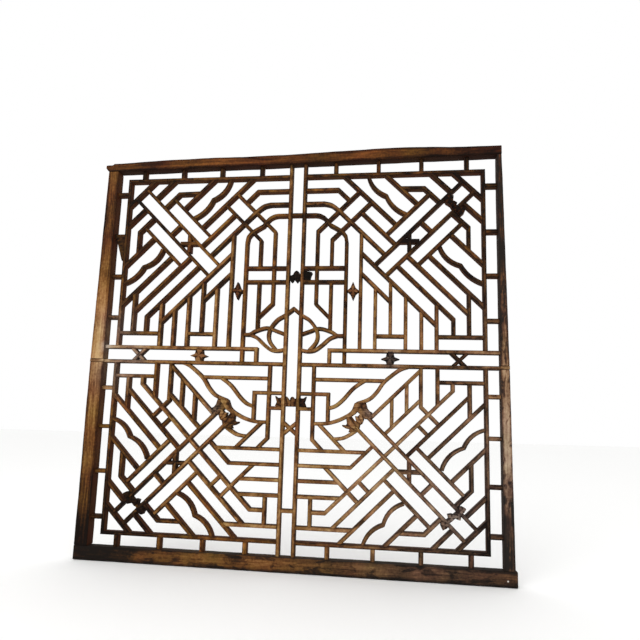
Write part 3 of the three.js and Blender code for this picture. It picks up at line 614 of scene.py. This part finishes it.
CUSP = [4.45, -2.5]
for hand, side in HANDS:
    plan(f"{hand}_hanging_bars", side, [
        [[8.5, 0], [8.5, -2.63], [9.6, -3.73]], outward(-8.72, 8.5, 5.25), outward(-10.65, 8.5, 6.15),
        post(7.6, -1.12, -3.05), post(6.65, -2.07, -4)], 6)
    plan(f"{hand}_hanging_scroll", side, [
        [*curve([[7.7, -0.02], [7.2, -0.2], [6.65, -0.6], [6.1, -1.1], [5.7, -1.7], [5.2, -2.2], CUSP]),
         *curve([CUSP, [4.08, -3.12], [3.5, -3.5], [2.9, -3.75], [2.3, -3.88], [1.5, -3.9]])[1:]],
        rail(-0.98, 6.15, 1.5), curve([[4.95, -0.95], [4.17, -1.5], [3.5, -2.27], [3, -2.7], [2.5, -2.88]]),
        [[1.5, 0], [1.5, -4.95], [2.2, -5.66]], [[MULLION, -1.95], [2.5, -1.95], [2.5, -3.85]],
        rail(-2.95, 1.5, MULLION), [[1.9, -3.9], [3.66, -5.66]],
        curve([[4.4, -4.26], [3.98, -4.55], [3.5, -4.79], [2.85, -4.87]])], 7)
    plan(f"{hand}_rungs", side, [
        [[5.5, -5.2], [4.05, -6.65], [MULLION, -6.65]], rail(-5.66, 5, MULLION),
        [[2.35, -6.65], [4.56, -8.86]], rail(-7.63, 3.32, MULLION), rail(-8.62, 3.45, MULLION),
        post(1.5, -8.62, -10.57), outward(-13.46, 6.87, 2.89), rail(-10.57, 4.26, MULLION),
        inward(-2.93, 4.56, 5.26)], 6)

# Standing posts over the band bar, the pointed arch beside the mullions, the two veins that cross
# it, the lotus at the middle, and the crosses and ties. All of 12 mm stock; the arch's shoulders and
# the lotus are sawn in curves, the veins are mitred.

for hand, side in HANDS:
    plan(f"{hand}_standing_posts", side, [
        post(9.5, BAND, 4.1), post(8.52, BAND, 3.73), post(7.5, BAND, 4.75), post(6.5, 2, 5.75),
        post(5.5, BAND, 5.28), post(4.5, BAND, 9.25), rail(2, 7.5, 5.5), inward(12.25, 9.5, 4.5),
        inward(10.83, 6.5, 4.5),
        [*inward(13.7, 6.13, 3.05), *curve([[2.85, 10.84], [2.4, 11.18], [1.9, 11.31]]),
         [MULLION, 11.31]]], 5)
    plan(f"{hand}_arch", side, [
        [[3.5, 0], [3.5, 8.5], *curve([[3.43, 8.92], [3.2, 9.22], [2.88, 9.44], [2.36, 9.74]]),
         [2.14, 10.04], *curve([[1.9, 10.28], [1.6, 10.43], [1.3, 10.48]]), [MULLION, 10.48]],
        rail(6.68, 3.5, MULLION), rail(5.7, 3.5, MULLION), post(2.5, 2.3, 5.7)], 6)
    plan(f"{hand}_inner_vein", side, [
        [[4.33, 12.12], [1.5, 9.29], [1.5, 4.15], [2.5, 3.15]],
        [[3.7, 11.45], [2.85, 12.3], [MULLION, 12.3]]], 7)
    plan(f"{hand}_outer_vein", side, [
        [[5.12, 11.3], [2.5, 8.68], [2.5, 6.68]], inward(15.1, 6.87, 4.44)], 7)
    plan(f"{hand}_lotus", side, [
        curve([[3.5, 2], [3, 2], [2.6, 2.24], [1.8, 2.46], [1.1, 2.24], [MULLION, 2.02]]),
        curve([[3, 1.98], [2.5, 1.78], [2, 1.33], [1.5, 0.97], [1, 0.9], [MULLION, 1]]),
        curve([[0.07, 3.76], [0.6, 3.34], [1.1, 3.03], [1.52, 2.5], [1.68, 2], [1.58, 1.5],
               [1.15, 0.97]])], 8)
    plan(f"{hand}_band_cross", side, [[[11.4, 0.92], [10.5, 0.05]], [[10.4, 0.95], [11.3, 0.05]]], 8)
plan("upper_tie", 1, [rail(10.5, -MULLION, MULLION)], 8)
plan("lower_tie", 1, [rail(-9.55, -MULLION, MULLION)], 8)
plan("centre_cross", 1, [[[-MULLION, -3.84], [MULLION, -4.68]], [[MULLION, -3.84], [-MULLION, -4.68]]], 8)

# Carved leaves and flowers. Sawn to a lobed outline, domed and veined with a gouge, and left on the
# bars they were cut with; the flowers and plaques sit between two bars. Dark in the hollows, walls
# and rims: smoke-black and painted shade.

carvings = {}
RIM_STEPS = 120
CREASE_WIDTH = 0.42
# Rings of a carved form as shares of its outline: those of the front from the centre out, two of the
# wall, and those of the back.
FRONT_SHARES = [0.03, 0.15, 0.3, 0.45, 0.6, 0.72, 0.83, 0.91, 0.97]
WALL_SHARES = [1.0, 1.0]
BACK_SHARES = [0.97, 0.5, 0.03]
WALL_DEPTHS = [BAR_FRONT + 3 * MM, BAR_BACK - 2.5 * MM]
BACK_DEPTH = BAR_BACK - 1.5 * MM
RIM_RECESS = 0.8 * MM


def carve(node, outline, centre, rise, lobes, crease, turn=0.0, proud=2.5 * MM, root=None, soot=0.0):
    """A carved form: rings shrink from the outline to the centre while the front swells as the root
    of what is left, and gouged creases run out from a root, by default the centre. Soot darkens it,
    and its walls, rim and creases are darkened more, partly smoke and partly painted shade."""
    corners = np.asarray(outline, float)
    corners = np.vstack([corners, corners[:1]])
    size = np.linalg.norm(np.diff(corners, axis=0), axis=1)
    along = np.concatenate([[0], np.cumsum(size)])
    s = np.linspace(0, along[-1], RIM_STEPS + 1)[:-1]
    rim = np.stack([np.interp(s, along, corners[:, 0]), np.interp(s, along, corners[:, 1])], -1)
    for _ in range(2):
        rim = (np.roll(rim, 1, 0) + 2 * rim + np.roll(rim, -1, 0)) / 4
    centre = np.asarray(centre, float)
    share = np.array(FRONT_SHARES + WALL_SHARES + BACK_SHARES)
    front_rings = len(FRONT_SHARES)
    swell = rise * np.sqrt(1 - share[:front_rings] ** 2)
    depth = np.concatenate([BAR_FRONT + RIM_RECESS - proud - swell, WALL_DEPTHS,
                            np.full(len(BACK_SHARES), BACK_DEPTH)])
    flat = centre + share[:, None, None] * (rim - centre)
    away = flat - (centre if root is None else np.asarray(root, float))
    angle = np.arctan2(away[..., 1], away[..., 0])
    groove = np.exp(-(np.sin(lobes * (angle - turn) / 2) / CREASE_WIDTH) ** 2)
    groove = groove * np.minimum(share, 0.9)[:, None] ** 0.7
    groove[front_rings - 1:] = 0
    points = np.stack([flat[..., 0], depth[:, None] + crease * groove, flat[..., 1]], -1)
    rings, count = points.shape[:2]
    i, j = np.meshgrid(np.arange(rings - 1), np.arange(count), indexing="ij")
    nxt = (j + 1) % count
    here, there = i * count, (i + 1) * count
    quads = np.stack([here + j, here + nxt, there + nxt, there + j], -1).reshape(-1, 4)
    k = np.arange(count // 2 - 1)
    lid = np.stack([k, count - 1 - k, count - 2 - k, k + 1], -1)
    quads = np.vstack([quads, lid, ((rings - 1) * count + lid)[:, ::-1]])
    points = points.reshape(-1, 3)
    first = points[quads[:, 0]]
    volume = sum(np.sum(first * np.cross(points[quads[:, a]], points[quads[:, b]]))
                 for a, b in ((1, 2), (2, 3)))
    quads = quads if volume > 0 else quads[:, ::-1]
    grain = points[quads][..., [0, 2]].reshape(-1, 2) + chance.uniform(0, 5)
    # The walls and gouged creases take the side mark, the rim and creases the edge mark; both darken them:
    # smoke and painted shade.
    walls = np.arange(rings) >= front_rings
    side = np.maximum(1.25 * groove, walls[:, None] * 1.0)
    edge = np.maximum(((share > 0.9) & ~walls)[:, None], 2.4 * groove)
    tone = np.full(side.size, chance.uniform(0.3, 0.9) + 4 * soot)
    carvings.setdefault(node, []).append({
        "points": points, "quads": quads, "grain": grain,
        "marks": np.stack([tone, side.ravel(), edge.ravel()], -1)})


LEAF_TIPS = 3
LEAF_NOTCH = 0.72


def leaf(node, side, centre, radius, turn, soot):
    """A lobed leaf: its edge swings between the tips and the notches, with a crease to each notch."""
    a = turn + np.pi * np.arange(2 * LEAF_TIPS) / LEAF_TIPS
    r = np.where(np.arange(2 * LEAF_TIPS) % 2, radius * LEAF_NOTCH, radius)
    rim = np.stack([centre[0] + r * np.cos(a), centre[1] + r * np.sin(a)], -1)
    notch = turn + np.pi / LEAF_TIPS
    carve(node, set_out(side, rim), set_out(side, [centre])[0], 3 * MM, LEAF_TIPS, 2.6 * MM,
          notch if side > 0 else np.pi - notch, soot=soot)


# Three tufts of petals tie the cusp of the scroll to the ends of the two ribbons: outline, middle
# and the point from which the gouge cuts run out.
TUFTS = [
    ([[4.41, -2.57], [4.98, -2.39], [5.1, -2.8], [5.24, -2.98], [5.42, -3.06], [5.36, -3.48],
      [4.95, -3.52], [4.73, -3.28], [4.56, -3.16], [4.44, -3.06]], [4.9, -3.0], [5.5, -3.9]),
    ([[4.29, -3.32], [4.47, -3.34], [4.66, -3.12], [4.84, -3.22], [4.9, -3.47], [4.84, -3.65],
      [4.77, -3.82], [4.6, -3.92], [4.48, -3.84], [4.4, -3.72], [4.34, -3.56]],
     [4.64, -3.52], [4.95, -4.05]),
    ([[3.72, -3.42], [4.0, -3.24], [4.26, -3.6], [4.46, -3.7], [4.66, -3.8], [4.6, -4.1],
      [4.46, -4.38], [4.13, -4.36], [3.87, -4.4], [3.96, -4.2], [3.72, -4.15], [3.48, -4.02],
      [3.46, -3.9], [3.68, -3.95], [3.78, -3.84]], [4.12, -3.96], [4.75, -4.55])]
CORNER_LEAVES = {
    "lower": [([10.98, -8.96], 0.28, 0.3), ([10.75, -9.36], 0.27, 1.1), ([10.36, -9.42], 0.28, 0.5),
              ([9.93, -9.93], 0.32, 0.2)],
    "upper": [([11.08, 10.57], 0.36, 0.4), ([10.78, 10.72], 0.28, 1.0), ([10.58, 11.05], 0.28, 0.2),
              ([10.32, 11.36], 0.4, 0.7)]}
TUFT_SOOT = {"left": (0.14, 0.04, 0.10), "right": (0.10, -0.14, 0.04)}
NIB = [[4.8, -2.42], [4.26, -2.46], [4.02, -3.1], [3.64, -3.52], [3.98, -3.42], [4.3, -3.2],
       [4.5, -3.0], [4.62, -2.78], [4.78, -2.62]]
FLOWER = [[7.15, 0.46], [6.8, 0.6], [6.72, 0.98], [6.3, 0.98], [6.24, 0.6], [5.9, 0.46], [6.24, 0.34],
          [6.3, 0.05], [6.72, 0.05], [6.8, 0.34]]
LOZENGE = [[4, 5.7], [4.18, 5.26], [4.42, 5.06], [4.18, 4.86], [4, 4.42], [3.82, 4.86], [3.58, 5.06],
           [3.82, 5.26]]
for hand, side in HANDS:
    for (outline, middle, root), soot in zip(TUFTS, TUFT_SOOT[hand]):
        carve(f"{hand}_lower_ribbons", set_out(side, outline), set_out(side, [middle])[0], 1.6 * MM, 16,
              2.6 * MM, 0.2, -0.4 * MM, set_out(side, [root])[0], soot)
    carve(f"{hand}_hanging_scroll", set_out(side, NIB), set_out(side, [[4.42, -2.75]])[0], 0.8 * MM, 1,
          0, 0, 0.6 * MM, soot=-0.02)
    for centre, radius, turn in CORNER_LEAVES["lower"]:
        leaf(f"{hand}_lower_ribbons", side, centre, radius, turn, 0.3 if side < 0 else -0.1)
    carve(f"{hand}_band_flower", set_out(side, FLOWER), set_out(side, [[6.52, 0.5]])[0], 2.5 * MM, 4,
          2.5 * MM, 0.6, 0, soot=-0.38 if side < 0 else 0.02)
    carve(f"{hand}_lozenge", set_out(side, LOZENGE), set_out(side, [[4, 5.06]])[0], 2.5 * MM, 4,
          2 * MM, np.pi / 4, 0, soot=-0.14 if side < 0 else -0.26)
for centre, radius, turn in CORNER_LEAVES["upper"]:
    leaf("right_upper_ribbons", 1, centre, radius, turn, 0.4)
# Plaques let in behind the faces of the mullions: over the arch a bud with a pointed drop and one wing,
# the other wing lost; under the lotus a palmette of three petals between two wings.
WING = [[0.55, -2.2], [0.74, -2.26], [0.88, -2.26], [1.05, -2.12], [1.0, -2.33], [0.93, -2.53],
        [1.05, -2.81], [0.88, -2.84], [0.55, -2.92]]
PALMETTE = [[-0.5, -2.2], [-0.33, -2.13], [-0.24, -2.2], [-0.1, -2.5], [0, -2.24], [0.1, -2.14],
            [0.2, -2.22], [0.32, -2.44], [0.4, -2.2], [0.5, -2.18], [0.5, -2.82], [-0.5, -2.82]]
BUD = [[-0.5, 6.1], [-0.2, 6.16], [-0.13, 6.22], [-0.07, 6.35], [0.02, 6.45], [0.11, 6.49], [0.2, 6.45],
       [0.3, 6.35], [0.38, 6.2], [0.5, 6.1], [0.5, 5.9], [0.47, 5.68], [0.34, 5.84], [0.26, 5.8],
       [0.15, 5.64], [0.04, 5.78], [-0.06, 5.9], [-0.18, 5.69], [-0.25, 5.68], [-0.45, 5.95]]
BUD_WING = [[0.5, 6.46], [0.76, 6.44], [1.0, 6.42], [1.2, 6.36], [1.12, 6.2], [1.09, 6.11], [1.05, 5.92],
            [0.92, 5.77], [0.78, 5.7], [0.5, 5.7]]
for node, outline, middle, root, lobes, soot in (
        ("lower_carving", set_out(1, WING), (0.78, -2.55), (0.4, -2.9), 12, 0.3),
        ("lower_carving", set_out(-1, WING), (-0.78, -2.55), (-0.4, -2.9), 12, -0.16),
        ("lower_carving", set_out(1, PALMETTE), (0.02, -2.6), (0.02, -3.9), 30, -0.16),
        ("upper_carving", set_out(1, BUD), (0.08, 6.15), (0.1, 5.4), 18, 0.45),
        ("upper_carving", set_out(1, BUD_WING), (0.8, 6.25), (0.4, 6.2), 12, 0.5)):
    carve(node, outline, set_out(1, [middle])[0], 1.5 * MM, lobes, 2 * MM, 0.1, -2.4 * MM,
          set_out(1, [root])[0], soot)
# A scrap of board that closes the gap between the left border and its stile.
SCRAP = [[12.6, 9.1], [13.3, 9.1], [13.24, 8.75], [12.77, 7.25], [12.6, 7.25]]
carve("left_upper_border", set_out(-1, SCRAP), set_out(-1, [[12.85, 8.4]])[0], 0, 1, 0, 0, -1 * MM)

# Smoked fir of the upper lattice and the borders, bare golden fir of the middle and the lower half,
# and the carvings' dark, gouge-cut fir.
dark_wood = old_wood("smoked_fir_bars", ["#9c7038", "#755022", "#533616", "#32200e", "#120b07"],
                     "#43260f", 4, 42, 1.0, 0.26, 0.02)
pale_wood = old_wood("bare_fir_bars", ["#a68757", "#825f34", "#5e3f1e", "#352210", "#120c08"],
                     "#2a190d", 4, 42, 1.0, 0.2, -0.04)
carved_fir = old_wood("gouged_fir", ["#86643c", "#5f4022", "#3f2713", "#23150c", "#0d0906"],
                      "#0e0905", 4, 25, 1.0, 0.2, 0.06)

MATERIAL_OF = {"dark_bar": dark_wood, "pale_bar": pale_wood, "carved_wood": carved_fir}
LONG_BARS = ("mullion", "mid_bar", "band_bar")
slots = {entry["node"]: entry["material_slot"] for entry in frame["record"]["subparts"]}
for hand, side in HANDS:
    width = LEFT_STILE if side < 0 else RIGHT_STILE
    x = side * spaced(OPENING_HALF - 1 * MM, OPENING_HALF + width, 12 * MM)
    x = x if side > 0 else x[::-1]
    upper, lower = (np.stack([x, np.full(len(x), joint_height(side) + way * BAR_FACE / 2)], -1)
                    for way in (1, -1))
    block = stick(upper, lower, -FRAME_HALF_DEPTH, FRAME_HALF_DEPTH, 1.2 * MM,
                  ends_in(np.abs(x - x[0]), 0.8 * MM), 0.3 * MM)
    carvings.setdefault(f"{hand}_mid_bar", []).append(block)
for node in [*planned, *(n for n in carvings if n not in planned)]:
    parts = [bar(*run) for run in planned.get(node, [])] + carvings.get(node, [])
    wood = pale_wood if node.endswith(LONG_BARS) else MATERIAL_OF[slots[node]]
    add_piece(f"{node}_worn", parts, wood, node)

# Floor, soft daylight and camera. A pale ground, an even white sky, a broad lamp high on the left in
# front and a weaker one on the right; the camera stands low and a little right of the middle.

bpy.ops.mesh.primitive_plane_add(size=40, location=(0, 0, -0.001))
ground = bpy.context.object
ground.name = "ground"
pale = bpy.data.materials.new("pale_ground")
pale.use_nodes = True
pale.node_tree.nodes["Principled BSDF"].inputs["Base Color"].default_value = linear("#fafaf9")
pale.node_tree.nodes["Principled BSDF"].inputs["Roughness"].default_value = 0.9
ground.data.materials.append(pale)

sky = bpy.data.worlds.new("white_sky")
sky.use_nodes = True
sky.node_tree.nodes["Background"].inputs["Color"].default_value = (1, 1, 1, 1)
sky.node_tree.nodes["Background"].inputs["Strength"].default_value = 1.0
bpy.context.scene.world = sky
for name, place, size, power, turn in (
        ("high_left", (-1.4, -3.4, 3.2), 2.0, 55, (55, 0, -22)),
        ("low_right", (2.6, -2.8, 1.2), 2.0, 12, (80, 0, 43))):
    lamp = bpy.data.lights.new(name, "AREA")
    lamp.size, lamp.energy = size, power
    holder = bpy.data.objects.new(name, lamp)
    holder.location = place
    holder.rotation_euler = Euler(np.radians(turn))
    bpy.context.scene.collection.objects.link(holder)
bpy.context.scene.view_settings.view_transform = "Standard"

lens = bpy.data.cameras.new("camera")
lens.sensor_width = 36
lens.lens = 26.139
lens.shift_x, lens.shift_y = -0.01524, 0.08154
lens.clip_end = 100
camera = bpy.data.objects.new("camera", lens)
camera.location = (0.30740, -1.45318, 0.43583)
camera.rotation_euler = Euler(np.radians((96.9539, -1.4841, 7.0477)))
bpy.context.scene.collection.objects.link(camera)
bpy.context.scene.camera = camera

bpy.context.view_layer.update()
